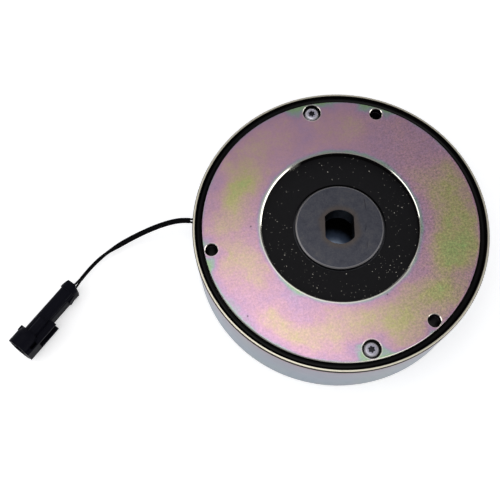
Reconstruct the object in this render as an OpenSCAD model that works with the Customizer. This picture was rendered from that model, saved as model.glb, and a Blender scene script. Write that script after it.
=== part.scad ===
// Spring-applied electromagnetic motor brake, front (motor side) up.
// The springs press the armature plate and the friction disc against the
// front plate; current in the coil pulls the armature back and frees the hub.
// Origin: centre of the back face. +Z runs along the hub axis to the motor.

/* [Housing] */
// Outside diameter of the magnet body
body_d = 155; // [130:1:200]
// Overall height, back face to front face
body_h = 41; // [34:0.5:60]
// Radial thickness of the outer wall around the friction chamber
wall_t = 15; // [13:0.5:20]
// Radial thickness of the thin lip around the front plate
lip_t = 1.45; // [1:0.05:3]
// Chamfer on the outer edges of the housing
edge_c = 0.5; // [0.2:0.1:1.5]
// Thickness of metal behind the coil groove
floor_t = 7; // [5:0.5:9]

/* [Front plate] */
// Thickness of the front plate
plate_t = 4; // [3.2:0.1:6]
// Opening in the front plate
plate_bore_d = 82.5; // [66:0.5:99]
// Width of the ring gap between plate and lip
seal_w = 3.3; // [2:0.1:4]
// Chamfer on the bore of the front plate
bore_c = 0.7; // [0.3:0.1:1]
// Chamfer on the rim of the front plate
rim_c = 0.5; // [0.2:0.1:0.8]

/* [Mounting holes] */
// Number of mounting holes
bolt_n = 3; // [3:1:4]
// Diameter of a mounting hole
bolt_hole_d = 6.6; // [5.5:0.1:8]
// Metal between a mounting hole and the rim of the front plate
bolt_edge = 0.95; // [0.9:0.05:2]
// Counterbore for the bolt head at the back
bolt_head_d = 11; // [9:0.5:13.5]
// Depth of that counterbore
bolt_head_h = 7; // [5:0.5:9]

/* [Plate screws] */
// Thread diameter of the two plate screws
screw_d = 4; // [3:0.5:5]
// Diameter of the button head
screw_head_d = 7.6; // [6:0.1:9.2]
// Height of the button head
screw_head_h = 2.2; // [1.6:0.1:2.6]
// Length under the head
screw_len = 12; // [8:1:14]
// Gap around the head in its pocket
screw_head_gap = 1.05; // [0.3:0.05:1.3]
// Metal between a head pocket and the rim of the front plate
screw_edge = 0.8; // [0.8:0.1:2]

/* [Friction disc] */
// Thickness of one friction lining
lining_t = 2.6; // [2:0.1:4]
// Thickness of the steel carrier between the linings
carrier_t = 2.4; // [1.6:0.1:4]
// Radial room between friction disc and chamber wall
disc_room = 2.5; // [1:0.5:5]
// Number of spline teeth
spline_n = 24; // [16:2:30]
// Radial height of a spline tooth
spline_h = 1.6; // [1.2:0.1:2.2]
// Gap between the two splines
spline_gap = 0.15; // [0.1:0.05:0.3]

/* [Hub] */
// Diameter of the hub collar
hub_d = 46.6; // [38:0.2:56]
// How far the hub face lies below the front face
hub_drop = 2.8; // [1:0.1:3.5]
// Length of the hub
hub_len = 12.2; // [10:0.1:15]
// Diameter of the double-D shaft bore
shaft_d = 19.2; // [14:0.1:24]
// Distance across the flats of the shaft bore
shaft_af = 15.4; // [11:0.1:19]
// Gap between hub collar and front lining
hub_gap = 1.2; // [0.6:0.1:2]
// Chamfer on the hub face
hub_c = 0.6; // [0.3:0.1:1.2]
// Angle of the flats at rest
hub_turn = -11; // [-90:1:90]

/* [Armature and guides] */
// Thickness of the armature plate
armature_t = 5; // [4:0.1:6]
// Travel of the armature when the coil is on
air_gap = 0.4; // [0.2:0.05:0.8]
// Radial room between armature and chamber wall
armature_room = 1; // [0.5:0.1:2]
// Diameter of a guide pin
pin_d = 5; // [4:0.5:6]
// Running gap between guide pin and armature
pin_gap = 0.08; // [0.04:0.01:0.1]
// Depth of a guide pin in the pole face
pin_depth = 12; // [8:1:13]

/* [Springs] */
// Number of pressure springs
spring_n = 6; // [6:3:6]
// Outside diameter of a spring
spring_d = 7.4; // [6:0.1:8.8]
// Wire diameter of a spring
spring_wire_d = 1.2; // [0.9:0.1:1.5]
// Depth of a spring pocket below the pole face
spring_depth = 14; // [10:0.5:16.5]
// Gap between spring and pocket wall
spring_gap = 0.3; // [0.2:0.1:0.5]
// Working turns of a spring
spring_turns = 4; // [3:0.5:5]

/* [Coil] */
// Radial width of the inner pole ring
inner_pole_w = 8; // [6:0.5:10]
// Radial width of the outer pole ring, which holds the springs
outer_pole_w = 12; // [11:0.5:14]
// Wall thickness of the coil bobbin
bobbin_t = 1.2; // [0.8:0.1:1.5]
// Depth of the cast resin over the coil
potting_t = 1.6; // [1:0.1:3]
// Radial gap between the hub and the inner pole
pole_gap = 1.7; // [1:0.1:3]
// Assembly clearance of pressed and cast-in pieces
fit = 0.03; // [0.02:0.01:0.06]

/* [Rear plug] */
// How far the plug reaches beyond the centre bore
plug_lip = 2; // [1:0.5:3]
// Sheet thickness of the plug
plug_t = 1.5; // [1:0.1:2]
// Depth of the dish in the plug
plug_dish = 2.4; // [1:0.1:3.4]

/* [Cable] */
// Direction in which the wires leave the housing
cable_a = 161; // [161:1:161]
// Height of the wire channel above the back face
cable_z = 20; // [20:1:20]
// Diameter of the wire channel
channel_d = 5.2; // [4.6:0.1:5.6]
// Diameter over the insulation of one wire
wire_d = 1.2; // [1:0.05:1.4]
// Distance between the two wires in the grommet
wire_pitch = 2; // [1.7:0.1:2.4]
// Wall thickness of the sleeve over the wires
sleeve_t = 0.25; // [0.15:0.05:0.35]
// Diameter of the cable grommet
grommet_d = 5.8; // [5:0.1:6.6]
// Length of the cable grommet
grommet_len = 8; // [5:0.5:10]
// How far the grommet stands out of the wall
grommet_out = 0.8; // [0.3:0.1:1.5]

/* [Connector] */
// Length of the connector body
conn_len = 44; // [40:0.5:50]
// Half width of the rear body
conn_r = 3.8; // [3.4:0.1:4.2]
// Distance between the two cavities
cavity_pitch = 4.5; // [4.2:0.1:5]
// Distance between the two arcs of the rear body
conn_rise = 5; // [4.8:0.1:6]
// How much wider the rear body is on the side of the lug
conn_side = 0.7; // [0.4:0.1:1]
// Half width of the rear cap
cap_side = 4.6; // [4.2:0.05:4.7]
// Half width of the shroud
shroud_r = 5.6; // [5.4:0.1:7]
// Distance between the two arcs of the shroud
shroud_rise = 9.8; // [7:0.1:10.5]
// Wall thickness of the shroud
shroud_t = 1.2; // [1:0.1:1.6]
// Width of the raised pad between ridge and shroud
pad_w = 5; // [4:0.5:6]
// Start of that pad, from the rear
pad_x = 24.5; // [20:0.5:28]
// Start of the shroud, from the rear
shroud_x = 34; // [30:0.5:36]
// Length over which the shroud widens
flare_len = 3; // [2:0.5:4]
// How much narrower it is at its rear
flare = 0.9; // [0.5:0.1:1]
// Width of the latch channel
latch_w = 6.2; // [5:0.1:7]
// Reach of the latch frame from the connector axis
latch_y = 7.6; // [7:0.1:8.4]

/* [Hidden] */
$fn = 96;
eps = 0.01;

// Radii, from the outside inwards
body_r = body_d / 2;
lip_r = body_r - lip_t;
plate_r = lip_r - seal_w;
bolt_r = plate_r - bolt_edge - bolt_hole_d / 2;
screw_pocket_r = screw_head_d / 2 + screw_head_gap;
screw_r = plate_r - screw_edge - screw_pocket_r;
chamber_r = body_r - wall_t;
armature_r = chamber_r - armature_room;
lining_r = chamber_r - disc_room;
hub_r = hub_d / 2;
lining_bore_r = hub_r + hub_gap;
centre_r = hub_r + pole_gap;
coil_in_r = centre_r + inner_pole_w;
coil_out_r = chamber_r - outer_pole_w;
winding_r = coil_out_r - 1;
spring_circle_r = (coil_out_r + chamber_r) / 2 + 0.5;
pocket_r = spring_d / 2 + spring_gap;

// Heights, from the front face down
seat_z = body_h - plate_t;
carrier_z = seat_z - lining_t - carrier_t;
disc_z = carrier_z - lining_t;
armature_z = disc_z - armature_t;
pole_z = armature_z - air_gap;
hub_top_z = body_h - hub_drop;
hub_z = hub_top_z - hub_len;
collar_z = carrier_z + carrier_t + 0.5;
pocket_z = pole_z - spring_depth;

// Spline, shared by hub and carrier: tooth tip and root of the hub
spline_tip_r = hub_r - 0.6;
spline_root_r = spline_tip_r - spline_h;

// Screw pocket in the front plate, and the chamfers that stay inside its rim
screw_pocket_z = body_h - 3;
screw_hole_r = screw_d / 2 + 0.25;
pocket_c = min(0.15, (screw_edge - rim_c) / 2);
bolt_c = min(0.3, bolt_edge - rim_c - 0.1);

// Connector placement: it lies on its rear cap and on the shroud
cap_out = 0.8;
cap_half = conn_rise / 2 + cap_side;
shroud_half = shroud_rise / 2 + shroud_r;
conn_yaw = -137.4;
conn_pitch = atan((shroud_half - cap_half) / (shroud_x + flare_len + cap_out));
conn_pos = [-147.8, 5, cap_half * cos(conn_pitch) + cap_out * sin(conn_pitch) + 0.05];
conn_dir = [cos(conn_yaw) * cos(conn_pitch), sin(conn_yaw) * cos(conn_pitch), sin(conn_pitch)];
rear_r = conn_r + conn_side / 2;
// Length and wall of the cap, and how far it lies off the axis
cap_len = 4;
cap_wall = 0.87;
cap_shift = conn_r + 0.2 - cap_side;
// Radius of a wire seal over its ribs
seal_r = cavity_pitch / 2 - 0.3;
// Where the wires end in the terminals, from the rear face
wire_end_x = 9;

// Route of the cable, middle of the two wires: control points of a smooth
// curve from the coil, through the wall and down to the connector, in which
// the last four follow the connector's axis
cable_points = concat([
    [-41, 14.1, 20], [-47, 16.2, 20], [-53, 18.3, 20], [-59, 20.3, 20], [-65.5, 22.6, 20],
    [-72, 24.8, 20], [-77.5, 26.7, 20], [-83, 28.3, 18.8], [-89, 29, 16.6],
    [-95.5, 29.2, 14], [-102, 28.8, 11.4], [-108.5, 28, 9], [-115, 26.7, 7],
    [-121, 25, 5.6], [-127, 22.8, 4.8], [-132.5, 19.6, 4.5],
    [-137.3, 15.8, 4.9], [-141.7, 11.4, 5.8]],
    [for (x = [-12, -6, 0, 6]) conn_pos + (x + wire_end_x) * conn_dir]);
wire_rings = 38;
// First and last of those rings under the sleeve
sleeve_first = 10;
sleeve_last = 32;

// Smoothly from 0 at a to 1 at b
function ease(a, b, t) = let (x = min(1, max(0, (t - a) / (b - a)))) x * x * (3 - 2 * x);

// Uniform cubic B-spline through control points p, at u from 0 to 1
function spline_at(p, u) =
    let (m = len(p) - 3, s = min(m - eps / 100, u * m), i = floor(s), t = s - i)
    ((1 - t) * (1 - t) * (1 - t) * p[i] + (3 * t * t * t - 6 * t * t + 4) * p[i + 1]
     + (-3 * t * t * t + 3 * t * t + 3 * t + 1) * p[i + 2] + t * t * t * p[i + 3]) / 6;

// Unit tangent, level side vector and upward vector of the route
function unit(v) = v / norm(v);
function tangent_at(u) = let (d = 0.005)
    unit(spline_at(cable_points, min(1, u + d)) - spline_at(cable_points, max(0, u - d)));
function side_at(u) = unit(cross([0, 0, 1], tangent_at(u)));
function up_at(u) = cross(tangent_at(u), side_at(u));

// The pair closes up outside the grommet, turns upright before the connector and
// opens there; each pair of numbers is where that starts and ends along the route
close_at = [0.24, 0.27];
turn_at = [0.59, 0.735];
open_at = [0.845, 0.918];
pair_gap = 0.08;
function roll_at(u) = 90 * ease(turn_at[0], turn_at[1], u);
function spread_at(u) = wire_d + pair_gap
    + (wire_pitch - wire_d - pair_gap) * (1 - ease(close_at[0], close_at[1], u))
    + (cavity_pitch - wire_d - pair_gap) * ease(open_at[0], open_at[1], u);
function pair_dir(u) = cos(roll_at(u)) * side_at(u) + sin(roll_at(u)) * up_at(u);
function pair_normal(u) = cross(tangent_at(u), pair_dir(u));

// The two triangles of each patch between rings m0 and m1 of n points each
function band(m0, m1, n) = [for (j = [0:n - 1]) let (k = (j + 1) % n)
    each [[m0 * n + j, m1 * n + j, m1 * n + k], [m0 * n + j, m1 * n + k, m0 * n + k]]];

// Closed tube over rings of equal point count, with flat ends
module tube_mesh(rings) {
    n = len(rings[0]);
    m = len(rings);
    polyhedron(
        points = [for (r = rings) each r],
        faces = concat(
            [[for (j = [0:n - 1]) j]],
            [for (i = [0:m - 2]) each band(i, i + 1, n)],
            [[for (j = [n - 1:-1:0]) (m - 1) * n + j]]),
        convexity = 6);
}

// Ring sector profile revolved about Z
module ring(r_in, r_out, z, h) {
    translate([0, 0, z]) difference() {
        cylinder(r = r_out, h = h);
        translate([0, 0, -1]) cylinder(r = r_in, h = h + 2);
    }
}

module around(n, r, first = 0) {
    for (i = [0:n - 1]) rotate([0, 0, first + i * 360 / n]) translate([r, 0, 0]) children();
}

// Magnet body: turned cup with coil groove, spring pockets and bolt holes
module housing() color("#a9adb5") difference() {
    rotate_extrude() polygon([
        [centre_r, 0], [body_r - edge_c, 0], [body_r, edge_c],
        [body_r, body_h - edge_c], [body_r - edge_c, body_h], [lip_r, body_h],
        [lip_r, seat_z], [chamber_r, seat_z], [chamber_r, pole_z],
        [coil_out_r, pole_z], [coil_out_r, floor_t], [coil_in_r, floor_t],
        [coil_in_r, pole_z], [centre_r, pole_z]]);
    // seat of the rear plug
    translate([0, 0, -1]) cylinder(r = centre_r + plug_lip + fit, h = 1 + edge_c + plug_t);
    // mounting holes with counterbores for the bolt heads
    around(bolt_n, bolt_r, 60) {
        translate([0, 0, -1]) cylinder(d = bolt_hole_d, h = body_h, $fn = 48);
        translate([0, 0, -1]) cylinder(d = bolt_head_d, h = bolt_head_h + 1, $fn = 48);
    }
    // threaded holes of the plate screws
    around(2, screw_r, 90) translate([0, 0, screw_pocket_z - screw_len - 2])
        cylinder(r = screw_d / 2 + fit, h = screw_len + 3, $fn = 32);
    // spring pockets and guide pin holes in the outer pole
    around(spring_n, spring_circle_r, 30)
        translate([0, 0, pocket_z]) cylinder(r = pocket_r, h = spring_depth + 1, $fn = 48);
    around(3, spring_circle_r, 0)
        translate([0, 0, pole_z - pin_depth]) cylinder(r = pin_d / 2 + fit, h = pin_depth + 1, $fn = 32);
    wire_channel();
}

// Way of the wires from the winding out through the wall, wider at the grommet
module wire_channel() rotate([0, 0, cable_a]) translate([0, 0, cable_z]) rotate([0, 90, 0]) {
    translate([0, 0, winding_r]) cylinder(d = channel_d, h = body_r - winding_r + 2, $fn = 32);
    translate([0, 0, body_r + grommet_out - grommet_len])
        cylinder(r = grommet_d / 2 + fit, h = grommet_len, $fn = 32);
}

// Dished steel plug that closes the centre bore at the back
module rear_plug() color("#b9bdc6") translate([0, 0, edge_c]) rotate_extrude() {
    r = centre_r + plug_lip;
    polygon(concat(
        [[r, 0], [r, plug_t], [centre_r, plug_t]],
        [for (i = [11:-1:0]) let (x = centre_r * i / 12) [x, plug_t + plug_dish * pow(i / 12, 2)]],
        [for (i = [0:11]) let (x = centre_r * i / 12) [x, plug_dish * pow(i / 12, 2)]],
        [[centre_r, 0]]));
}

// Plastic bobbin: ring channel, open to the outside and notched for the wires
module coil_bobbin() color("#d8d2bd") difference() {
    a = coil_in_r + fit;
    b = coil_out_r - fit;
    top = pole_z - potting_t;
    rotate_extrude() polygon([
        [a, floor_t], [b, floor_t], [b, floor_t + bobbin_t], [a + bobbin_t, floor_t + bobbin_t],
        [a + bobbin_t, top - bobbin_t], [b, top - bobbin_t], [b, top], [a, top]]);
    wire_channel();
}

// Copper winding inside the bobbin
module coil_winding() color("#b4693a")
    ring(coil_in_r + bobbin_t + 2 * fit, winding_r, floor_t + bobbin_t,
        pole_z - potting_t - 2 * bobbin_t - floor_t);

// Cast resin that closes the coil groove
module coil_potting() color("#26262a")
    ring(coil_in_r + fit, coil_out_r - fit, pole_z - potting_t, potting_t - 0.2);

// Pressure spring with closed ends
module pressure_spring(i) {
    turns = spring_turns + 2;
    steps = turns * 12;
    wire_r = spring_wire_d / 2 - 0.02;
    mean_r = spring_d / 2 - wire_r;
    low = pocket_z + wire_r + 0.02;
    high = armature_z - wire_r - 0.02;
    // closed end coils lie nearly flat, the working coils rise evenly
    function rise(t) = let (c = spring_wire_d)
        t < 1 ? c * t
        : t > turns - 1 ? (high - low) - c * (turns - t)
        : c + (high - low - 2 * c) * (t - 1) / (turns - 2);
    color("#8d9096") rotate([0, 0, 30 + (i - 1) * 360 / spring_n]) translate([spring_circle_r, 0, low])
        tube_mesh([for (k = [0:steps]) let (t = k / 12, a = t * 360)
            [for (j = [0:5]) let (b = 60 * j, r = mean_r + wire_r * cos(b))
                [r * cos(a), r * sin(a), rise(t) + wire_r * sin(b)]]]);
}

// Hardened guide pin, pressed into the outer pole
module guide_pin(i) color("#c9ccd2")
    rotate([0, 0, (i - 1) * 120]) translate([spring_circle_r, 0, pole_z - pin_depth]) {
        len = pin_depth + air_gap + armature_t - 0.6;
        cylinder(d = pin_d, h = len - 0.5, $fn = 32);
        translate([0, 0, len - 0.5]) cylinder(d1 = pin_d, d2 = pin_d - 1, h = 0.5, $fn = 32);
    }

// Steel armature plate, guided on the three pins
module armature_plate() color("#8f949c") difference() {
    ring(centre_r + 1, armature_r, armature_z, armature_t);
    around(3, spring_circle_r, 0)
        translate([0, 0, armature_z - 1]) cylinder(r = pin_d / 2 + pin_gap, h = armature_t + 2, $fn = 32);
}

// Straight-sided spline outline, grown by g
module spline_shape(g) {
    step = 360 / spline_n;
    // half angles of a tooth at its root and tip
    wide = step * 0.3;
    slim = step * 0.19;
    turn = g / spline_root_r * 180 / PI;
    polygon([for (i = [0:spline_n - 1]) let (a = i * step) each [
        (spline_root_r + g) * [cos(a - wide - turn), sin(a - wide - turn)],
        (spline_tip_r + g) * [cos(a - slim - turn), sin(a - slim - turn)],
        (spline_tip_r + g) * [cos(a + slim + turn), sin(a + slim + turn)],
        (spline_root_r + g) * [cos(a + wide + turn), sin(a + wide + turn)]]]);
}

// Splined hub with a round collar and a double-D shaft bore
module hub() color("#4a4a50") rotate([0, 0, hub_turn]) difference() {
    union() {
        translate([0, 0, hub_z]) linear_extrude(height = collar_z - hub_z + eps) spline_shape(0);
        translate([0, 0, collar_z]) cylinder(r = hub_r, h = hub_top_z - collar_z - hub_c);
        translate([0, 0, hub_top_z - hub_c]) cylinder(r1 = hub_r, r2 = hub_r - hub_c, h = hub_c);
    }
    intersection() {
        translate([0, 0, hub_z - 1]) cylinder(d = shaft_d, h = hub_len + 2);
        translate([-shaft_af / 2, -shaft_d, hub_z - 2]) cube([shaft_af, 2 * shaft_d, hub_len + 4]);
    }
}

// Steel carrier of the friction disc, with the internal spline
module disc_carrier() color("#5b5d62") rotate([0, 0, hub_turn]) difference() {
    translate([0, 0, carrier_z]) cylinder(r = lining_r, h = carrier_t);
    translate([0, 0, carrier_z - 1]) linear_extrude(height = carrier_t + 2) spline_shape(spline_gap);
}

module lining(z) color("#1d1d20") ring(lining_bore_r, lining_r, z, lining_t);
module front_lining() lining(seat_z - lining_t);
module rear_lining() lining(disc_z);

// Front plate: the fixed friction face, seated on the housing wall
module front_plate() color("#a79aa6") difference() {
    rotate_extrude() polygon([
        [plate_bore_d / 2, seat_z], [plate_r, seat_z], [plate_r, body_h - rim_c],
        [plate_r - rim_c, body_h], [plate_bore_d / 2 + bore_c, body_h],
        [plate_bore_d / 2, body_h - bore_c]]);
    around(bolt_n, bolt_r, 60) {
        translate([0, 0, seat_z - 1]) cylinder(d = bolt_hole_d, h = plate_t + 2, $fn = 48);
        translate([0, 0, body_h - bolt_c])
            cylinder(d1 = bolt_hole_d, d2 = bolt_hole_d + 4 * bolt_c, h = 2 * bolt_c, $fn = 48);
    }
    around(2, screw_r, 90) {
        translate([0, 0, seat_z - 1]) cylinder(r = screw_hole_r, h = plate_t + 2, $fn = 32);
        translate([0, 0, screw_pocket_z]) cylinder(r = screw_pocket_r, h = plate_t, $fn = 48);
        translate([0, 0, body_h - pocket_c])
            cylinder(r1 = screw_pocket_r, r2 = screw_pocket_r + 2 * pocket_c, h = 2 * pocket_c, $fn = 48);
    }
}

// Rubber ring in the gap between plate and lip
module rim_seal() color("#141416") {
    r = seal_w / 2 - 0.05;
    rotate_extrude() translate([(lip_r + plate_r) / 2, seat_z + r]) circle(r = r, $fn = 40);
}

// Button-head screw with a six-lobed socket
module plate_screw(i) color("#b6b4bf")
    rotate([0, 0, 90 + (i - 1) * 180]) translate([screw_r, 0, screw_pocket_z])
    difference() {
        union() {
            // domed head: ring of the head's arc, worked out from its width and height
            rotate_extrude($fn = 48) polygon(concat(
                [[0, 0], [screw_head_d / 2, 0]],
                [for (k = [0:8]) let (a = 90 * k / 8)
                    [screw_head_d * (0.3 + 0.2 * cos(a)), 0.3 + (screw_head_h - 0.3) * sin(a)]],
                [[0, screw_head_h]]));
            translate([0, 0, -screw_len]) cylinder(d = screw_d, h = screw_len + eps, $fn = 32);
        }
        translate([0, 0, screw_head_h - 1.4]) linear_extrude(height = 2) polygon([
            for (k = [0:47]) let (a = 7.5 * k, r = screw_d * (0.41 + 0.07 * cos(6 * a)))
                [r * cos(a), r * sin(a)]]);
    }

// Rubber bush where the wires leave the wall
module cable_grommet() color("#1b1b1d")
    rotate([0, 0, cable_a]) translate([body_r + grommet_out - grommet_len, 0, cable_z]) rotate([0, 90, 0])
        difference() {
            union() {
                cylinder(d = grommet_d, h = grommet_len - 0.4, $fn = 32);
                translate([0, 0, grommet_len - 0.4])
                    cylinder(d1 = grommet_d, d2 = grommet_d - 0.8, h = 0.4, $fn = 32);
            }
            for (s = [-1, 1]) translate([0, s * wire_pitch / 2, -1])
                cylinder(r = wire_d / 2 + 0.12, h = grommet_len + 2, $fn = 24);
        }

// One insulated wire, side -1 or 1 of the pair
module wire(side) color("#17171a")
    tube_mesh([for (k = [0:wire_rings - 1]) let (
        u = k / (wire_rings - 1),
        c = spline_at(cable_points, u) + side * spread_at(u) / 2 * pair_dir(u))
        [for (j = [0:7]) let (a = 22.5 + 45 * j)
            c + wire_d / 2 * (cos(a) * side_at(u) + sin(a) * up_at(u))]]);

// Twelve points of an oval across the route at u, its flats at a and b
function oval_at(u, a, b) = [for (j = [0:11]) let (w = 30 * j, f = 1 / cos(15))
    spline_at(cable_points, u) + f * (a * cos(w) * pair_dir(u) + b * sin(w) * pair_normal(u))];

// Half the width inside the sleeve, which opens with the wires at its end
function inner_a(u) = (wire_d + spread_at(u)) / 2 + 0.12;

// Flat sleeve over both wires, a thin-walled oval tube
module cable_sleeve() color("#1c1c1f") {
    inner_b = wire_d / 2 + 0.12;
    stations = [for (k = [sleeve_first:sleeve_last]) k / (wire_rings - 1)];
    m = len(stations);
    // out along the outer skin, back along the inner skin, closed by the end rings
    rings = concat(
        [for (u = stations) oval_at(u, inner_a(u) + sleeve_t, inner_b + sleeve_t)],
        [for (i = [m - 1:-1:0]) oval_at(stations[i], inner_a(stations[i]), inner_b)]);
    polyhedron(
        points = [for (r = rings) each r],
        faces = [for (i = [0:2 * m - 1]) each band(i, (i + 1) % (2 * m), 12)],
        convexity = 8);
}

// Puts children from the connector's own frame (X to its mouth) on the table
module on_connector() translate(conn_pos) rotate([0, 0, conn_yaw]) rotate([0, -conn_pitch, 0]) children();

// Upright oval prism along X: half width r, arc centres a pitch apart
module oval_x(r, pitch, x, l) translate([x, 0, 0]) {
    for (s = [-1, 1]) translate([0, 0, s * pitch / 2]) rotate([0, 90, 0]) cylinder(r = r, h = l, $fn = 48);
    translate([0, -r, -pitch / 2]) cube([l, 2 * r, pitch]);
}

// Oval of the rear body: it is wider on the side of the lug, so it lies off the axis
module rear_oval(play, x, l) translate([0, -conn_side / 2, 0])
    oval_x(rear_r + play, conn_rise, x, l);

// Rear part of the shroud, which widens towards the mouth
module shroud_flare() translate([shroud_x, 0, 0]) {
    r = shroud_r - flare;
    for (s = [-1, 1]) translate([0, 0, s * shroud_rise / 2]) rotate([0, 90, 0])
        cylinder(r1 = r, r2 = shroud_r, h = flare_len, $fn = 48);
    translate([0, 0, -shroud_rise / 2]) linear_extrude(height = shroud_rise)
        polygon([[0, -r], [flare_len, -shroud_r], [flare_len, shroud_r], [0, r]]);
}

// The part of the body under the rear cap
module spigot(play, x, l) translate([0, cap_shift, 0])
    oval_x(cap_side - cap_wall + play, conn_rise, x, l);

// Moulded housing of the two-way plug: cavities, shroud and latch frame
module connector_body() color("#1a1a1d") on_connector() {
    pad_half = (conn_rise / 2 + rear_r + shroud_half) / 2 - 0.5;
    inner_r = shroud_r - shroud_t;
    rib = 1.2;
    lug_z = 2;
    difference() {
        union() {
            spigot(0, 0, cap_len + 1);
            rear_oval(0, cap_len + fit, shroud_x - cap_len);
            translate([0, 1.2, 0]) oval_x(pad_w / 2, 2 * pad_half - pad_w, pad_x, shroud_x - pad_x + 1);
            shroud_flare();
            oval_x(shroud_r, shroud_rise, shroud_x + flare_len, conn_len - shroud_x - flare_len);
            // rounded ridge along the top, and a lower one beside it
            translate([cap_len + fit, 1.7, conn_rise / 2 + rear_r - 1.4]) rotate([0, 90, 0])
                cylinder(r = 1.5, h = pad_x - cap_len, $fn = 32);
            translate([cap_len + 5, 2.7, conn_rise / 2 + rear_r - 2]) rotate([0, 90, 0])
                cylinder(r = 0.9, h = pad_x - cap_len - 7, $fn = 24);
            // latch frame on the side
            for (s = [-1, 1]) translate([pad_x - 2.5, 0, s * (latch_w + rib) / 2 - rib / 2])
                cube([conn_len - pad_x + 2.5, latch_y, rib]);
            translate([conn_len - 8.6, 0, -latch_w / 2]) cube([8.6, latch_y, latch_w]);
            // locating lug on the other side
            translate([shroud_x - 0.8, -shroud_r - 0.7, lug_z]) rotate([0, 90, 0])
                cylinder(r = 1.3, h = 3.2, $fn = 24);
            translate([shroud_x - 0.8, -shroud_r - 0.7, lug_z - 1.3]) cube([3.2, 2.6, 2.6]);
        }
        // socket
        oval_x(inner_r, shroud_rise, shroud_x + 2.5, conn_len);
        // cavities for seals and terminals
        for (s = [-1, 1]) translate([-1, 0, s * cavity_pitch / 2]) rotate([0, 90, 0]) {
            cylinder(r = seal_r + 0.05, h = 6.5, $fn = 32);
            cylinder(r = 1.15, h = conn_len, $fn = 24);
        }
        // window in the latch frame, open to the socket and to the top
        translate([conn_len - 8, shroud_r - 0.3, -latch_w / 2 + 0.9])
            cube([4.3, latch_y - shroud_r - 0.35, latch_w / 2 + 5.1]);
    }
}

// Rear lock: cap over the wire seals, with a side clip
module connector_lock() color("#1f1f23") on_connector() {
    height = 2 * cap_half;
    difference() {
        union() {
            // cap with sloped shoulders, the one on the side of the lug longer
            translate([0, cap_shift, 0]) intersection() {
                oval_x(cap_side, conn_rise, -cap_out, cap_len + cap_out);
                translate([0, 0, -height / 2]) linear_extrude(height = height) polygon([
                    [-cap_out, 2.1 - cap_side], [cap_len - 0.4, -cap_side], [cap_len, -cap_side],
                    [cap_len, cap_side], [1, cap_side], [-cap_out, cap_side - 2.4]]);
            }
            // side clip, rising towards the front
            translate([0, 0, -2]) linear_extrude(height = 4) polygon([
                [1, 0], [1, conn_r + 0.05], [4.5, conn_r + 0.5], [8.3, conn_r + 1.1], [8.3, 0]]);
        }
        spigot(fit, -fit, cap_len + 1);
        rear_oval(fit, cap_len, 20);
        for (s = [-1, 1]) translate([-3, 0, s * cavity_pitch / 2]) rotate([0, 90, 0])
            cylinder(r = wire_d / 2 + 0.3, h = 4, $fn = 24);
    }
}

// Ribbed rubber seal around one wire
module wire_seal(side) color("#33363a") on_connector()
    translate([fit, 0, side * cavity_pitch / 2]) rotate([0, 90, 0]) difference() {
        union() {
            cylinder(r = seal_r - 0.4, h = 5.2, $fn = 32);
            for (x = [0.2, 2, 3.8]) translate([0, 0, x]) cylinder(r = seal_r, h = 1, $fn = 32);
        }
        translate([0, 0, -1]) cylinder(r = wire_d / 2 + 0.12, h = 8, $fn = 24);
    }

// Tin-plated blade terminal with its crimp barrel
module terminal(side) color("#c8cacc") on_connector()
    translate([0, 0, side * cavity_pitch / 2]) {
        translate([wire_end_x, 0, 0]) rotate([0, 90, 0]) cylinder(r = 1.1, h = 13, $fn = 24);
        translate([20, -0.75, -0.4]) cube([conn_len - 23, 1.5, 0.8]);
    }

housing();
rear_plug();
coil_bobbin();
coil_winding();
coil_potting();
for (i = [1:spring_n])
    pressure_spring(i);
for (i = [1:3])
    guide_pin(i);
armature_plate();
hub();
disc_carrier();
front_lining();
rear_lining();
front_plate();
rim_seal();
for (i = [1:2])
    plate_screw(i);
cable_grommet();
for (i = [1:2])
    wire(3 - 2 * i);
cable_sleeve();
connector_body();
connector_lock();
for (i = [1:2])
    wire_seal(3 - 2 * i);
for (i = [1:2])
    terminal(3 - 2 * i);
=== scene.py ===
import math
import bpy
import numpy as np
from mathutils import Matrix, Vector


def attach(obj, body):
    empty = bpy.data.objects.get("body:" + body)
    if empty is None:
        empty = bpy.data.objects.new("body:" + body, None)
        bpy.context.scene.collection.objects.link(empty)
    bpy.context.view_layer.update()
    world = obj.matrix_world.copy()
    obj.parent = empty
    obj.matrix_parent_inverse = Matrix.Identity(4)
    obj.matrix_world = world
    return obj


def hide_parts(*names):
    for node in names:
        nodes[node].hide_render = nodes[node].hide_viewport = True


# Looks of the motor brake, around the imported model.
# Lengths in this file are in millimetres, and mm turns them into Blender's metres.
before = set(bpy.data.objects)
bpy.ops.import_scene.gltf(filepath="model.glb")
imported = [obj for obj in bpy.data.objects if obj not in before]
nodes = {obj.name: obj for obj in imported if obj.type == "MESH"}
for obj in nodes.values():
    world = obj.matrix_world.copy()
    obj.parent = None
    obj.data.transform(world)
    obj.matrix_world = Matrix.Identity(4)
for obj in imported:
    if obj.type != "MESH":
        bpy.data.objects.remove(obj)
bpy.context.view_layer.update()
mm = 0.001
scene = bpy.context.scene
scene.view_settings.view_transform = "Standard"
print("frame loaded:", len(nodes), "nodes")

camera = {
    "aim": (-48.97, -4.23, 41.0),  # where the middle of the picture lies on the front face
    "distance": 398.6,
    "azimuth": -8.61,
    "elevation": 71.10,
    "roll": -2.85,
    "lens": 55.44,
}


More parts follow.
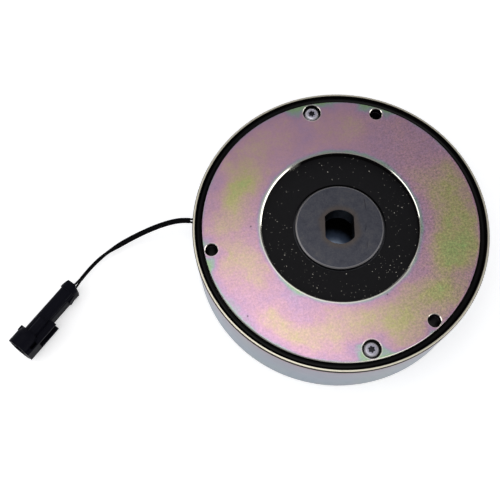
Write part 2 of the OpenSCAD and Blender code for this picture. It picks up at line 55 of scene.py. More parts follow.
def makeCamera(v):
    turn = (
        Matrix.Rotation(math.radians(v["azimuth"]), 4, "Z")
        @ Matrix.Rotation(math.radians(90 - v["elevation"]), 4, "X")
        @ Matrix.Rotation(math.radians(v["roll"]), 4, "Z")
    )
    data = bpy.data.cameras.new("photoCamera")
    data.lens = v["lens"]
    data.sensor_width = 36
    data.clip_start = 0.01
    made = bpy.data.objects.new("photoCamera", data)
    place = Vector(v["aim"]) * mm + turn.to_3x3() @ Vector((0, 0, v["distance"] * mm))
    made.matrix_world = Matrix.Translation(place) @ turn
    scene.collection.objects.link(made)
    scene.camera = made


makeCamera(camera)
print("camera made")

# The plug lies where the model has it, and the lead's route is the model's too
plug = {
    "rear": (-147.8, 5.0, 7.1931),  # where the lead enters it
    "yaw": -137.4,
    "pitch": 5.1398,
    "wireEnd": 9.0,  # how far the wires reach into it
    "cavityPitch": 4.5,
}
lead = {
    "route": [
        (-41, 14.1, 20), (-47, 16.2, 20), (-53, 18.3, 20), (-59, 20.3, 20), (-65.5, 22.6, 20),
        (-72, 24.8, 20), (-77.5, 26.7, 20), (-83, 28.3, 18.8), (-89, 29, 16.6), (-95.5, 29.2, 14),
        (-102, 28.8, 11.4), (-108.5, 28, 9), (-115, 26.7, 7), (-121, 25, 5.6), (-127, 22.8, 4.8),
        (-132.5, 19.6, 4.5), (-137.3, 15.8, 4.9), (-141.7, 11.4, 5.8),
    ],
    "tail": (-12, -6, 0, 6),  # last points, on the plug's axis, from where the wires end
    "wire": 1.2,  # diameter over the insulation
    "wirePitch": 2.0,  # distance between the wires in the grommet
    "gap": 0.08,  # free space between them in the sleeve
    # shares of the route between which the pair closes up, rolls by a quarter turn and opens
    "close": (0.24, 0.27),
    "turn": (0.59, 0.735),
    "open": (0.845, 0.918),
    "rings": 240,
    "sides": 20,
    "wall": 78.3,  # radius at which the lead leaves its grommet
}


def plugAxis(v):
    # unit vector of the yaw and pitch: cosines of both, sine and cosine, sine of the pitch
    yaw, pitch = math.radians(v["yaw"]), math.radians(v["pitch"])
    return np.array([math.cos(yaw) * math.cos(pitch), math.sin(yaw) * math.cos(pitch), math.sin(pitch)])


def ease(a, b, t):
    # 0 before a, 1 after b, and 3x^2 - 2x^3 of the share x between them
    x = np.clip((t - a) / (b - a), 0, 1)
    return x * x * (3 - 2 * x)


def routePoints():
    tail = [np.array(plug["rear"]) + (x + plug["wireEnd"]) * plugAxis(plug) for x in lead["tail"]]
    return np.vstack([np.array(lead["route"], float), tail])


def splineAt(u):
    # uniform cubic B-spline: each point is a blend of four control points
    p = routePoints()
    spans = len(p) - 3
    s = np.minimum(u * spans, spans - 1e-6)
    i = np.floor(s).astype(int)
    t = (s - i)[:, None]
    return (
        (1 - t) ** 3 * p[i]
        + (3 * t**3 - 6 * t**2 + 4) * p[i + 1]
        + (-3 * t**3 + 3 * t**2 + 3 * t + 1) * p[i + 2]
        + t**3 * p[i + 3]
    ) / 6


def unit(v):
    # each vector divided by its length
    return v / np.linalg.norm(v, axis=-1, keepdims=True)


def leadFrame(u):
    # middle of the pair, its direction from two points a small share apart, and the directions
    # across it: through both wires, a level one rolled by cosine and sine, and square to that
    small = 0.004
    middle = splineAt(u)
    along = unit(splineAt(np.minimum(1, u + small)) - splineAt(np.maximum(0, u - small)))
    level = unit(np.cross([0.0, 0.0, 1.0], along))
    upward = np.cross(along, level)
    roll = np.radians(90 * ease(*lead["turn"], u))[:, None]
    across = np.cos(roll) * level + np.sin(roll) * upward
    return middle, along, across, np.cross(along, across)


def pairSpread(u):
    # distance between the wires: wide in the grommet, eased to side by side in the sleeve,
    # and eased open to the distance of the plug's cavities
    close = lead["wire"] + lead["gap"]
    return (
        close
        + (lead["wirePitch"] - close) * (1 - ease(*lead["close"], u))
        + (plug["cavityPitch"] - close) * ease(*lead["open"], u)
    )


def tubeMesh(name, points, closed=False):
    # points[i, j] is ring i, place j round it; patches are quads. A closed one joins its last ring
    # to its first, any other has a flat cap at each end
    rings, sides = points.shape[:2]
    index = np.arange(rings * sides).reshape(rings, sides)
    i, j = np.meshgrid(np.arange(rings if closed else rings - 1), np.arange(sides), indexing="ij")
    i, j = i.ravel(), j.ravel()
    nextI, nextJ = (i + 1) % rings, (j + 1) % sides
    quads = np.stack([index[i, j], index[i, nextJ], index[nextI, nextJ], index[nextI, j]], axis=1)
    faces = quads.tolist()
    if not closed:
        faces += [index[0][::-1].tolist(), index[-1].tolist()]
    mesh = bpy.data.meshes.new(name)
    mesh.from_pydata((points.reshape(-1, 3) * mm).tolist(), [], faces)
    mesh.validate()
    mesh.shade_smooth()
    made = bpy.data.objects.new(name, mesh)
    scene.collection.objects.link(made)
    return made


def makeWire(name, side):
    # half the spread to one side of the middle, and round it a circle: the cosine of the angle
    # along one direction, the sine along the other, times the radius
    u = np.linspace(0, 1, lead["rings"])
    middle, along, across, square = leadFrame(u)
    line = middle + side * pairSpread(u)[:, None] / 2 * across
    angle = np.linspace(0, 2 * math.pi, lead["sides"], endpoint=False)[None, :, None]
    circle = np.cos(angle) * across[:, None] + np.sin(angle) * square[:, None]
    made = tubeMesh(name, line[:, None] + lead["wire"] / 2 * circle)
    return made, line * mm


def leadLength(line):
    # sum of the distances between neighbouring points
    return float(np.linalg.norm(np.diff(line, axis=0), axis=1).sum())


sleeve = {
    "from": 9.6 / 37,  # shares of the route
    "to": 32 / 37,
    "room": 0.12,  # free space inside it round the wires
    "thick": 0.25,
    "rings": 700,
    "innerRings": 60,
    "sides": 72,
    "strands": 9,  # in each direction
    "pitch": 7.5,  # length in which a strand goes once round
    "relief": 0.06,  # height of a strand over its neighbours
    "drawnIn": 0.08,  # how much the cut ends are drawn in
    "drawnOver": 0.5,  # length in which that fades
}


def makeSleeve(v):
    u = np.linspace(v["from"], v["to"], v["rings"])
    middle, along, across, square = leadFrame(u)
    length = np.concatenate([[0], np.cumsum(np.linalg.norm(np.diff(middle, axis=0), axis=1))])
    a, s = np.meshgrid(np.linspace(0, 2 * math.pi, v["sides"], endpoint=False), length)
    halfWide = ((lead["wire"] + pairSpread(u)) / 2 + v["room"])[:, None]
    halfHigh = lead["wire"] / 2 + v["room"]
    # strands wind round both ways, each a ridge after the cosine of its phase; the product of the two
    # cosines changes sign from crossing to crossing, and says which strand is on top there
    first = np.cos(v["strands"] * (a / 2 + math.pi * s / v["pitch"]))
    second = np.cos(v["strands"] * (a / 2 - math.pi * s / v["pitch"]))
    over = first * second
    weave = np.maximum(np.abs(first) * (1 + over), np.abs(second) * (1 - over)) / 2
    # the ends are drawn in by a falling exponential
    ends = np.exp(-s / v["drawnOver"]) + np.exp(-(length[-1] - s) / v["drawnOver"])
    height = v["thick"] - v["relief"] * (1 - weave) - v["drawnIn"] * ends

    def oval(more):
        # ellipse across the route: cosine times half the width, sine times half the height
        wide = ((halfWide + more) * np.cos(a))[..., None] * across[:, None]
        high = ((halfHigh + more) * np.sin(a))[..., None] * square[:, None]
        return middle[:, None] + wide + high

    # the inner skin is smooth and needs few rings
    few = np.unique(np.linspace(0, v["rings"] - 1, v["innerRings"]).astype(int))
    inner = oval(np.zeros_like(s))[few][::-1]
    return tubeMesh("leadSleeve", np.concatenate([oval(height), inner]), closed=True)


wireOne, lineOne = makeWire("leadWireA", 1)
wireTwo, lineTwo = makeWire("leadWireB", -1)
leadSleeve = makeSleeve(sleeve)
for made, replaced, slot in (
    (wireOne, "wire_1", "wire_insulation"),
    (wireTwo, "wire_2", "wire_insulation"),
    (leadSleeve, "cable_sleeve", "sleeve_plastic"),
):
    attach(made, "root")
    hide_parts(replaced)


onPlug = [
    nodes[name]
    for name in ("connector_body", "connector_lock", "wire_seal_1", "wire_seal_2", "terminal_1", "terminal_2")
]
[leadSleeve] + onPlug
print("lead made, mm:", round(leadLength(lineOne) / mm, 1), round(leadLength(lineTwo) / mm, 1))


# Materials: sums of sockets are written as plain expressions
class Flow:
    def __init__(self, paint, socket):
        self.paint = paint
        self.socket = socket

    def __add__(self, other):
        return self.paint.calc("ADD", self, other)

    def __radd__(self, other):
        return self.paint.calc("ADD", other, self)

    def __sub__(self, other):
        return self.paint.calc("SUBTRACT", self, other)

    def __rsub__(self, other):
        return self.paint.calc("SUBTRACT", other, self)

    def __mul__(self, other):
        return self.paint.calc("MULTIPLY", self, other)

    def __rmul__(self, other):
        return self.paint.calc("MULTIPLY", other, self)


def tone(red, green, blue):
    # display values from 0 to 255 as the linear colour that a socket takes
    share = np.array([red, green, blue]) / 255
    linear = np.where(share <= 0.04045, share / 12.92, ((share + 0.055) / 1.055) ** 2.4)
    return (*linear.tolist(), 1.0)


class Paint:
    def __init__(self, name, metallic=0.0, roughness=0.5, gloss=0.5):
        self.material = bpy.data.materials.new(name)
        self.material.use_nodes = True
        self.tree = self.material.node_tree
        self.shader = self.tree.nodes["Principled BSDF"]
        self.set("Metallic", metallic)
        self.set("Roughness", roughness)
        self.set("Specular IOR Level", gloss)
        self.place = self.node("TexCoord", out="Object")
        # the same place in millimetres
        self.x, self.y, self.z = (
            self.node("SeparateXYZ", values={0: self.place}, out=k) * 1000.0 for k in range(3)
        )

    def put(self, socket, value):
        if isinstance(value, Flow):
            self.tree.links.new(value.socket, socket)
        else:
            socket.default_value = value

    def set(self, socket, value):
        self.put(self.shader.inputs[socket], value)

    def node(self, kind, settings=None, values=None, out=0):
        made = self.tree.nodes.new("ShaderNode" + kind)
        for key, value in (settings or {}).items():
            if key == "stops":
                self.rampStops(made.color_ramp, value)
            else:
                setattr(made, key, value)
        for key, value in (values or {}).items():
            self.put(made.inputs[key], value)
        return Flow(self, made.outputs[out])

    def rampStops(self, ramp, stops):
        while len(ramp.elements) < len(stops):
            ramp.elements.new(0.5)
        for element, (place, colour) in zip(ramp.elements, stops):
            element.position = place
            element.color = colour

    def calc(self, operation, a, b=0.0):
        return self.node("Math", {"operation": operation}, {0: a, 1: b})

    def vector(self, operation, a, b, out=0):
        return self.node("VectorMath", {"operation": operation}, {0: a, 1: b}, out)

    def blend(self, share, a, b, how="MIX"):
        settings = {"data_type": "RGBA", "blend_type": how}
        return self.node("Mix", settings, {0: share, 6: a, 7: b}, out=2)

    def grey(self, value):
        return self.node("CombineColor", None, {0: value, 1: value, 2: value})

    def step(self, x, low, high, start=0.0, end=1.0):
        # from start at low to end at high, eased at both
        settings = {"interpolation_type": "SMOOTHSTEP"}
        values = {"Value": x, "From Min": low, "From Max": high, "To Min": start, "To Max": end}
        return self.node("MapRange", settings, values)

    def near(self, x, line, far, close):
        # 0 where x is that far past the line, 1 where it is that close to it
        return self.step(x, line + far, line + close)

    def radius(self, x=0.0, y=0.0):
        # distance from an upright axis: root of the sum of both squares
        dx, dy = self.x - x, self.y - y
        return self.calc("SQRT", dx * dx + dy * dy)

    def noise(self, size, detail=2.0, rough=0.5, place=None, shift=0.0):
        # size is the width of a blotch
        at = self.place if place is None else place
        if shift:
            at = self.vector("ADD", at, (shift, shift * 0.7, shift * 1.3))
        values = {"Vector": at, "Scale": 1000.0 / size, "Detail": detail, "Roughness": rough}
        return self.node("TexNoise", None, values)

    def warp(self, size, depth):
        # Object coordinates pushed about by noise, so that soft places get uneven edges
        values = {"Vector": self.place, "Scale": 1000.0 / size, "Detail": 3.0}
        push = self.vector("SUBTRACT", self.node("TexNoise", None, values, "Color"), (0.5, 0.5, 0.5))
        push = self.node("VectorMath", {"operation": "SCALE"}, {0: push, "Scale": depth * mm})
        return self.vector("ADD", self.place, push)

    def spot(self, place, centre, size):
        # 1 at the centre, falling softly to 0 at the distance size
        far = self.vector("DISTANCE", place, tuple(c * mm for c in centre), out="Value")
        return self.step(far, size * mm, 0.0)

    def bump(self, height, depth):
        self.set("Normal", self.node("Bump", None, {"Height": height, "Distance": depth * mm}))

    def give(self, *objects):
        for made in objects:
            made.data.materials.clear()
            made.data.materials.append(self.material)


front = {
    "bore": 41.25,  # radius of the opening
    "rim": 72.75,
    "face": 41.0,
    "holes": [(34.25, 59.32), (-68.5, 0.0), (34.25, -59.32)],
    "holeRadius": 3.3,
    "screws": [(0.0, 67.1), (0.0, -67.1)],
    "pocketRadius": 4.85,
    "film": [
        # colours of the chromate film from thin to thick
        (0.0, tone(162, 192, 152)),
        (0.16, tone(170, 182, 182)),
        (0.33, tone(199, 163, 193)),
        (0.5, tone(212, 170, 186)),
        (0.64, tone(214, 186, 168)),
        (0.78, tone(206, 198, 142)),
        (0.92, tone(184, 204, 134)),
        (1.0, tone(158, 198, 134)),
    ],
    "filmMiddle": 0.43,
    # clouds of the film: width, detail, roughness, shift of the noise, and how strong they are
    "clouds": [(26, 2.0, 0.5, 0.31, 0.3), (8, 4.0, 0.65, 0.07, 0.4), (2.4, 4.0, 0.7, 0.19, 0.2)],
    # x, y and radius of each place where the film is thicker or thinner, and by how much
    "places": [
        (-47, 32, 18, 0.26), (-54, 21, 19, 0.22), (-57, 2, 24, 0.18), (-50, -14, 22, 0.15),
        (-42, 42, 22, 0.16), (-28, 54, 18, 0.12), (-43, -46, 16, 0.22), (-33, -57, 14, 0.22),
        (-17, -54, 18, 0.26), (-1, -52, 15, 0.22), (-32, -31, 8, -0.16), (60, 14, 24, 0.28),
        (60, -8, 22, 0.26), (56, -23, 22, 0.3), (66, -24, 16, 0.12), (46, -27, 15, 0.18),
        (48, -44, 20, 0.28), (34, -50, 20, 0.32), (24, -42, 14, 0.12), (14, -51, 16, 0.2),
        (19, -60, 16, 0.24), (48, 26, 14, 0.1), (11, 54, 20, 0.14), (46, 2, 10, -0.1),
    ],
    # the same for the thin film beside the screws and holes
    "halos": [
        (-8, 71, 10, 0.5), (7, 72, 8, 0.46), (32, 65, 8, 0.4), (40, 59, 8, 0.36), (-70, -7, 9, 0.5),
        (-70, 5, 7, 0.36), (-6, -68, 8, 0.5), (6, -72, 7, 0.36), (31, -63, 6, 0.3),
    ],
    # how much thinner it is along the bore, along the rim and at the lower left of the rim
    "thinAtBore": 0.3,
    "thinAtRim": 0.18,
    "thinAtCorner": 0.12,
    "grain": 0.12,  # how much the grain of the zinc changes the film
    "grainDepth": 0.006,
    "pits": [(-46, 8.5), (-57, -38.5), (14.5, -41.5)],
    "pitSize": 0.8,
    "pit": tone(60, 50, 50),
    # pale edges and rings: a painted highlight
    "edge": tone(236, 232, 220),
    "edgeRough": 0.1,
    # painted shade deep in the holes, pockets and bore
    "paintedShade": tone(14, 12, 13),
}


def plateFinish(v):
    p = Paint("yellowZinc", metallic=1.0, gloss=0.1)
    r = p.radius()
    film = v["filmMiddle"]
    for size, detail, rough, shift, amount in v["clouds"]:
        film = film + amount * (p.noise(size, detail, rough, shift=shift) - 0.5)
    uneven = p.warp(14, 16)
    for x, y, size, amount in v["places"]:
        film = film + p.spot(uneven, (x, y, v["face"]), size) * amount
    for x, y, size, amount in v["halos"]:
        film = film - p.spot(uneven, (x, y, v["face"]), size) * amount
    corner = p.step(0.0 - p.x - p.y, 78.0, 94.0)
    film = film - v["thinAtCorner"] * corner * p.near(r, v["rim"], -7.0, -3.0)
    film = film - v["thinAtBore"] * p.near(r, v["bore"], 3.8, 0.8)
    film = film - v["thinAtRim"] * p.near(r, v["rim"], -2.0, -0.2)
    grain = p.noise(0.8, 3.0, 0.7)
    film = film + v["grain"] * (grain - 0.5)
    colour = p.node("ValToRGB", {"stops": v["film"]}, {0: film})
    # the mottle of the zinc is faint at the top, plainer below and plainest at the right
    plain = p.step(p.y, 55.0, 15.0, 0.4, 1.0) + p.step(p.x, 10.0, 45.0, 0.0, 1.2)
    shade = 1.0 + plain * (p.noise(1.1, 4.0, 0.85, shift=0.5) - 0.5)
    colour = p.blend(1.0, colour, p.grey(shade), "MULTIPLY")
    for x, y in v["pits"]:
        pit = p.spot(p.place, (x, y, v["face"]), v["pitSize"])
        colour = p.blend(pit * 0.8, colour, v["pit"])
    # painted highlight: the edges just below the face are pale
    edge = p.near(p.z, v["face"], -0.02, -0.06)
    colour = p.blend(edge * 0.85, colour, v["edge"])
    # further down painted shade darkens the walls of the holes and pockets, and the bore's wall on its upper
    # side, while a painted highlight gives its lower side and the edges of the openings a pale ring
    below = p.near(p.z, v["face"], -0.34, -0.47)
    upper = p.step(p.x * 0.81 + p.y * 0.59, 4.0, 14.0)
    paintedShadeInside = p.near(r, v["bore"], 0.85, 0.75) * upper
    paintedHighlightRing = 1.5 * p.near(r, v["bore"], 1.6, 1.1) * (1.0 - upper)
    openings = [(hole, v["holeRadius"]) for hole in v["holes"]]
    openings += [(screw, v["pocketRadius"]) for screw in v["screws"]]
    for (x, y), size in openings:
        far = p.radius(x, y)
        paintedShadeInside = p.calc("MAXIMUM", paintedShadeInside, p.near(far, size, 0.3, 0.1))
        paintedHighlightRing = p.calc("MAXIMUM", paintedHighlightRing, p.near(far, size, 0.75, 0.4))
    colour = p.blend(paintedHighlightRing * 0.45, colour, v["edge"])
    p.set("Base Color", p.blend(below * paintedShadeInside, colour, v["paintedShade"]))
    p.set("Metallic", 1.0 - below * paintedShadeInside)
    rough = 0.27 + 0.08 * p.noise(9, 3.0, 0.6)
    p.set("Roughness", rough * (1.0 - edge) + v["edgeRough"] * edge)
    p.bump(grain, v["grainDepth"])
    p.give(nodes["front_plate"])


shell = {
    "radius": 77.5,
    "height": 41.0,
    "wallLow": tone(112, 126, 142),
    "wallHigh": tone(118, 119, 136),
    "patch": tone(150, 160, 150),
    "streak": tone(160, 138, 152),
    "blush": tone(138, 112, 124),
    # painted shade on the chamfer
    "edge": tone(14, 12, 11),
    "lip": tone(222, 216, 196),
    # painted shade at the foot of the wall and inside the bolt holes
    "paintedShade": tone(16, 16, 18),
    "boltHole": 5.5,  # radius of its counterbore
    "turningDepth": 0.002,
}


def housingFinish(v):
    p = Paint("clearZinc", metallic=1.0, gloss=0.02)
    r, z = p.radius(), p.z
    blotch = p.noise(22, 3.0, 0.6)
    streak = p.noise(9, 2.0, 0.6, place=p.vector("MULTIPLY", p.place, (1.0, 1.0, 4.0)))
    colour = p.blend(p.step(z, 12, 34), v["wallLow"], v["wallHigh"])
    colour = p.blend(p.step(blotch, 0.4, 0.75) * 0.35, colour, v["patch"])
    colour = p.blend(p.step(streak, 0.5, 0.8) * 0.3, colour, v["streak"])
    # near the top edge the film turns rosy, on the chamfer painted shade makes it nearly black, on the lip it
    # is pale
    colour = p.blend(p.near(z, v["height"], -6.5, -2.2), colour, v["blush"])
    lip = p.near(r, v["radius"], -0.3, -0.4) * p.near(r, v["radius"], -1.25, -1.1)
    black = p.near(z, v["height"], -2.2, -1.9) * (1.0 - lip)
    colour = p.blend(p.near(z, v["height"], -1.5, -0.8), colour, v["lip"])
    colour = p.blend(black, colour, v["edge"])
    # painted shade along the foot of the wall
    colour = p.blend(p.step(z, 1.2, 0.5) * 0.75, colour, v["paintedShade"])
    # painted shade inside the bolt holes
    holes = 0.0
    for x, y in front["holes"]:
        holes = p.calc("MAXIMUM", holes, p.near(p.radius(x, y), v["boltHole"], 0.4, 0.2))
    holes = holes * p.near(z, v["height"], -3.0, -5.0)
    p.set("Base Color", p.blend(holes, colour, v["paintedShade"]))
    p.set("Metallic", 1.0 - p.calc("MAXIMUM", holes, black))
    p.set("Roughness", 0.3 + 0.1 * blotch)
    # turning marks: noise that knows only the radius and the height
    turned = p.node("CombineXYZ", None, {0: r * mm, 1: 0.0, 2: z * mm})
    p.bump(p.noise(0.5, 1.0, 0.5, place=turned), v["turningDepth"])
    p.give(nodes["housing"])


hubLook = {
    "face": 38.2,
    "radius": 23.3,
    "boreRadius": 9.0,
    "boreFlat": 7.5,  # distance of the bore's flats from the axis
    "steel": [(0.3, tone(66, 67, 76)), (0.5, tone(82, 83, 91)), (0.7, tone(100, 98, 99))],
    "heat": tone(100, 88, 76),
    # painted highlight along the outer chamfer
    "rim": tone(154, 152, 154),
    # painted highlight on the bore's chamfer
    "edge": tone(166, 156, 146),
    # painted shade below the face
    "paintedShade": tone(12, 12, 14),
    "scratch": tone(40, 40, 46),
    "scratches": [(16, 10, 84, 8), (13.3, -3, 71, 6), (11.6, -12.5, 75, 5)],  # x, y, direction, length
}


def hubFinish(v):
    p = Paint("hubSteel", metallic=1.0, gloss=0.1)
    r, z = p.radius(), p.z
    blotch = 0.55 * p.noise(5, 5.0, 0.75) + 0.45 * p.noise(0.9, 3.0, 0.75)
    colour = p.node("ValToRGB", {"stops": v["steel"]}, {0: blotch})
    # distance outside the bore: the larger of the distances from its circle and from its flats
    out = p.calc("MAXIMUM", r - v["boreRadius"], p.calc("ABSOLUTE", p.x) - v["boreFlat"])
    out = out + 1.4 * (p.noise(3, 2.0, 0.5) - 0.5)
    colour = p.blend(p.step(out, 4.4, 1.2) * 0.5, colour, v["heat"])
    # painted highlight along the outer chamfer of the face
    colour = p.blend(p.near(r, v["radius"], -0.9, -0.7) * 0.8, colour, v["rim"])
    for x, y, turn, long in v["scratches"]:
        a = math.radians(turn)
        dx, dy = p.x - x, p.y - y
        far = p.calc("ABSOLUTE", dx * math.cos(a) + dy * math.sin(a))
        side = dx * -math.sin(a) + dy * math.cos(a) + 0.8 * (p.noise(4, 1.0, 0.5) - 0.5)
        line = p.step(p.calc("ABSOLUTE", side), 0.26, 0.06) * p.near(far, long / 2, 0.0, -2.0)
        colour = p.blend(line * 0.7, colour, v["scratch"])
    # painted highlight on the chamfer of the bore, and painted shade on all below it
    paintedShadeBelow = p.near(z, v["face"], -0.55, -0.7)
    paintedHighlightChamfer = p.near(z, v["face"], -0.03, -0.08) * p.near(r, v["boreRadius"], 5.0, 4.0)
    colour = p.blend(paintedHighlightChamfer * 0.8, colour, v["edge"])
    p.set("Base Color", p.blend(paintedShadeBelow, colour, v["paintedShade"]))
    p.set("Metallic", 1.0 - paintedShadeBelow)
    p.set("Roughness", 0.36 + 0.16 * blotch)
    p.bump(blotch, 0.006)
    p.give(nodes["hub"])


liningLook = {
    "black": tone(9, 9, 11),
    "grey": tone(19, 18, 21),
    "dull": tone(84, 82, 78),
    "bright": tone(196, 192, 180),
    # stretch of each set of flecks along X and Y, and the share of its cells that hold one
    "flecks": [((820.0, 460.0), 0.16), ((480.0, 900.0), 0.16), ((1000.0, 1000.0), 0.13)],
}


def liningFinish(v):
    p = Paint("frictionLining", gloss=0.15)
    # flecks: cell centres of stretched patterns, more of them where a broad noise is high and Y is low
    some = p.noise(16, 2.0, 0.6) - p.y * 0.004
    lit = 0.0
    for (wide, high), share in v["flecks"]:
        at = p.vector("MULTIPLY", p.warp(1.5, 0.7), (wide, high, 600.0))
        cells = p.node("TexVoronoi", None, {"Vector": at, "Scale": 1.0}, "Distance")
        chance = p.node("TexVoronoi", None, {"Vector": at, "Scale": 1.0}, "Color")
        here, level = (p.node("SeparateXYZ", None, {0: chance}, k) for k in (0, 1))
        fleck = p.step(cells, 0.22, 0.12) * p.near(here + 0.5 * (some - 0.5), 1.0 - share, 0.0, 0.02)
        lit = p.calc("MAXIMUM", lit, fleck * (0.3 + 0.7 * level))
    base = p.blend(p.noise(1.5, 2.0, 0.6), v["black"], v["grey"])
    colour = p.blend(p.step(lit, 0.0, 0.35), base, v["dull"])
    p.set("Base Color", p.blend(p.step(lit, 0.6, 1.0), colour, v["bright"]))
    p.set("Roughness", 0.62 - 0.2 * lit)
    p.bump(p.noise(0.7, 3.0, 0.7) + lit, 0.02)
    p.give(nodes["front_lining"], nodes["rear_lining"])


screwLook = {
    "top": 40.2,
    "socket": 2.1,
    "zinc": tone(178, 175, 190),
    "shade": tone(158, 155, 170),
    # painted highlight towards the rim of the head
    "paintedRimHighlight": tone(238, 235, 244),
    # painted shade in the socket
    "paintedShade": tone(22, 18, 30),
}


def screwFinish(v):
    # painted highlight towards the rim of the head, and painted shade in the socket
    p = Paint("screwZinc", metallic=0.35, roughness=0.3)
    soft = p.noise(2.0, 3.0, 0.6)
    middle = 100.0
    for x, y in front["screws"]:
        middle = p.calc("MINIMUM", middle, p.radius(x, y))
    colour = p.blend(soft, v["zinc"], v["shade"])
    colour = p.blend(p.step(middle, 2.3, 3.2), colour, v["paintedRimHighlight"])
    paintedShadeInside = p.near(middle, v["socket"], 0.1, 0.0) * p.near(p.z, v["top"], -0.3, -0.6)
    p.set("Base Color", p.blend(paintedShadeInside, colour, v["paintedShade"]))
    p.bump(soft, 0.004)
    p.give(nodes["plate_screw_1"], nodes["plate_screw_2"])


rearPlugLook = {
    # painted highlight at the middle fading to painted shade at the rim
    "bright": tone(196, 214, 240),
    "middle": tone(92, 108, 136),
    "paintedShadeRim": tone(10, 10, 12),
}


def rearPlugFinish(v):
    # painted highlight at its middle and painted shade towards its rim, after the light that falls in through
    # the bore
    p = Paint("plugSteel", metallic=1.0)
    cloud = p.noise(5, 3.0, 0.6)
    r = p.radius() + 3 * (cloud - 0.5)
    colour = p.blend(p.step(r, 3.0, 8.0), v["bright"], v["middle"])
    p.set("Base Color", p.blend(p.step(r, 7.0, 13.0), colour, v["paintedShadeRim"]))
    p.set("Roughness", 0.3 + 0.08 * cloud)
    p.bump(cloud, 0.004)
    p.give(nodes["rear_plug"])


# Finishes with only a fine grain: its width and depth, colour, and how rough and glossy it is
plainLooks = {
    "sealRubber": {
        "pieces": ["rim_seal"],
        "colour": (6, 6, 7), "rough": 0.3, "grain": 1.2, "depth": 0.004, "gloss": 0.1,
    },
    "grommetRubber": {
        "pieces": ["cable_grommet"],
        "colour": (26, 26, 28), "rough": 0.6, "grain": 0.8, "depth": 0.01,
    },
    "wireInsulation": {
        "pieces": ["leadWireA", "leadWireB"],
        "colour": (7, 7, 9), "rough": 0.4, "grain": 0.8, "depth": 0.004, "gloss": 0.04,
    },
    "sleevePlastic": {
        "pieces": ["leadSleeve"],
        "colour": (6, 6, 8), "rough": 0.5, "grain": 0.4, "depth": 0.006, "gloss": 0.03,
    },
    "connectorNylon": {
        "pieces": ["connector_body", "connector_lock"],
        "colour": (18, 18, 25), "rough": 0.4, "grain": 0.6, "depth": 0.006, "gloss": 0.02,
    },
    "sealSilicone": {
        "pieces": ["wire_seal_1", "wire_seal_2"],
        "colour": (90, 94, 98), "rough": 0.5, "grain": 0.8, "depth": 0.004,
    },
    "tinnedBrass": {
        "pieces": ["terminal_1", "terminal_2"],
        "colour": (214, 212, 206), "metal": 1.0, "rough": 0.28, "grain": 0.6, "depth": 0.002,
    },
    "springSteel": {
        "pieces": [f"pressure_spring_{i}" for i in range(1, 7)],
        "colour": (140, 142, 148), "metal": 1.0, "rough": 0.35, "grain": 0.6, "depth": 0.003,
    },
    "pinSteel": {
        "pieces": [f"guide_pin_{i}" for i in range(1, 4)],
        "colour": (196, 198, 204), "metal": 1.0, "rough": 0.22, "grain": 0.6, "depth": 0.002,
    },
    "armatureSteel": {
        "pieces": ["armature_plate"],
        "colour": (140, 146, 156), "metal": 1.0, "rough": 0.4, "grain": 1.2, "depth": 0.004,
    },
    # its dark tone is partly painted shade, for the shadow under the lining
    "carrierSteel": {
        "pieces": ["disc_carrier"],
        "colour": (70, 70, 74), "metal": 1.0, "rough": 0.5, "grain": 1.2, "depth": 0.004,
    },
    "bobbinNylon": {
        "pieces": ["coil_bobbin"],
        "colour": (214, 206, 180), "rough": 0.45, "grain": 1.5, "depth": 0.004,
    },
    "coilCopper": {
        "pieces": ["coil_winding"],
        "colour": (196, 120, 78), "metal": 1.0, "rough": 0.35, "grain": 0.5, "depth": 0.01,
    },
    "castResin": {
        "pieces": ["coil_potting"],
        "colour": (30, 30, 33), "rough": 0.25, "grain": 2.0, "depth": 0.006,
    },
}


def plainFinish(name, v):
    p = Paint(name, metallic=v.get("metal", 0.0), gloss=v.get("gloss", 0.5))
    grain = p.noise(v["grain"], 3.0, 0.6)
    darker, paler = (tone(*[min(255, c * share) for c in v["colour"]]) for share in (0.88, 1.1))
    p.set("Base Color", p.blend(grain, darker, paler))
    p.set("Roughness", v["rough"] - 0.06 + 0.12 * grain)
    p.bump(grain, v["depth"])
    p.give(*[nodes[piece] if piece in nodes else bpy.data.objects[piece] for piece in v["pieces"]])


plateFinish(front)
housingFinish(shell)
hubFinish(hubLook)
liningFinish(liningLook)
screwFinish(screwLook)
rearPlugFinish(rearPlugLook)
for name, look in plainLooks.items():
    plainFinish(name, look)
print("materials given")

studio = {
    "ceiling": (0.28, 0.28, 0.2912, 1),  # colour straight up; the horizon is white
    "band": (0.02, 0.1),  # sine of the elevation where white ends, and where the ceiling begins
    "floorHalf": 1300,
    "floorTone": 0.82,
    "floorGlow": 0.5,
    "lamps": [
        # name, place, width, height, brightness
        ("overhead", (-300, -330, 1000), 940, 1300, 1.5),
        ("frontLeft", (-746, 10, 311), 740, 210, 2.0),
        ("frontRight", (809, -252, 190), 924, 308, 2.0),
        ("front", (-78, -896, 95), 1900, 180, 0.9),
        ("back", (0, 950, 520), 900, 400, 1.2),
    ],
}


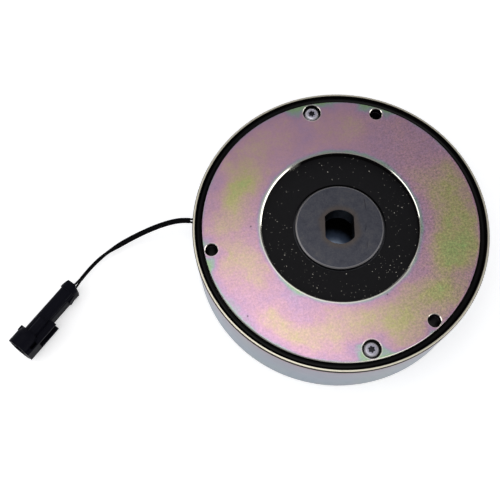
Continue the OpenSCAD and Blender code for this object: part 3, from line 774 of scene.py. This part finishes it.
def makeLamp(name, place, wide, high, bright):
    # a soft box; the one overhead faces straight down, the others face the brake
    data = bpy.data.lights.new(name, "AREA")
    data.shape = "RECTANGLE"
    data.size = wide * mm
    data.size_y = high * mm
    data.energy = bright * math.pi * data.size * data.size_y
    lamp = bpy.data.objects.new(name, data)
    lamp.location = Vector(place) * mm
    lamp.rotation_mode = "QUATERNION"
    if name != "overhead":
        lamp.rotation_quaternion = lamp.location.to_track_quat("Z", "Y")
    lamp.visible_camera = False
    scene.collection.objects.link(lamp)


def makeSky(v):
    # white at the horizon, grey above it
    world = bpy.data.worlds.new("studio")
    world.use_nodes = True
    sky = world.node_tree
    place = sky.nodes.new("ShaderNodeTexCoord")
    split = sky.nodes.new("ShaderNodeSeparateXYZ")
    ramp = sky.nodes.new("ShaderNodeValToRGB")
    for element, position, colour in zip(ramp.color_ramp.elements, v["band"], ((1, 1, 1, 1), v["ceiling"])):
        element.position = position
        element.color = colour
    sky.links.new(place.outputs["Generated"], split.inputs[0])
    sky.links.new(split.outputs[2], ramp.inputs[0])
    sky.links.new(ramp.outputs[0], sky.nodes["Background"].inputs["Color"])
    scene.world = world


def makeFloor(v):
    # pale to what it lights, and white where the camera or a reflection sees it
    half = v["floorHalf"] * mm
    mesh = bpy.data.meshes.new("floor")
    corners = [(-half, -half, 0), (half, -half, 0), (half, half, 0), (-half, half, 0)]
    mesh.from_pydata(corners, [], [(0, 1, 2, 3)])
    floor = bpy.data.objects.new("floor", mesh)
    scene.collection.objects.link(floor)
    p = Paint("floorPaint", roughness=0.9, gloss=0.0)
    p.set("Base Color", (v["floorTone"], v["floorTone"], v["floorTone"], 1))
    seen = p.node("LightPath", out="Is Camera Ray") + p.node("LightPath", out="Is Glossy Ray")
    seen = seen + p.node("LightPath", out="Is Transmission Ray")
    p.set("Emission Color", (1, 1, 1, 1))
    p.set("Emission Strength", p.calc("MINIMUM", seen, 1.0) * v["floorGlow"])
    p.give(floor)


for lampValues in studio["lamps"]:
    makeLamp(*lampValues)
makeSky(studio)
makeFloor(studio)
print("studio made")
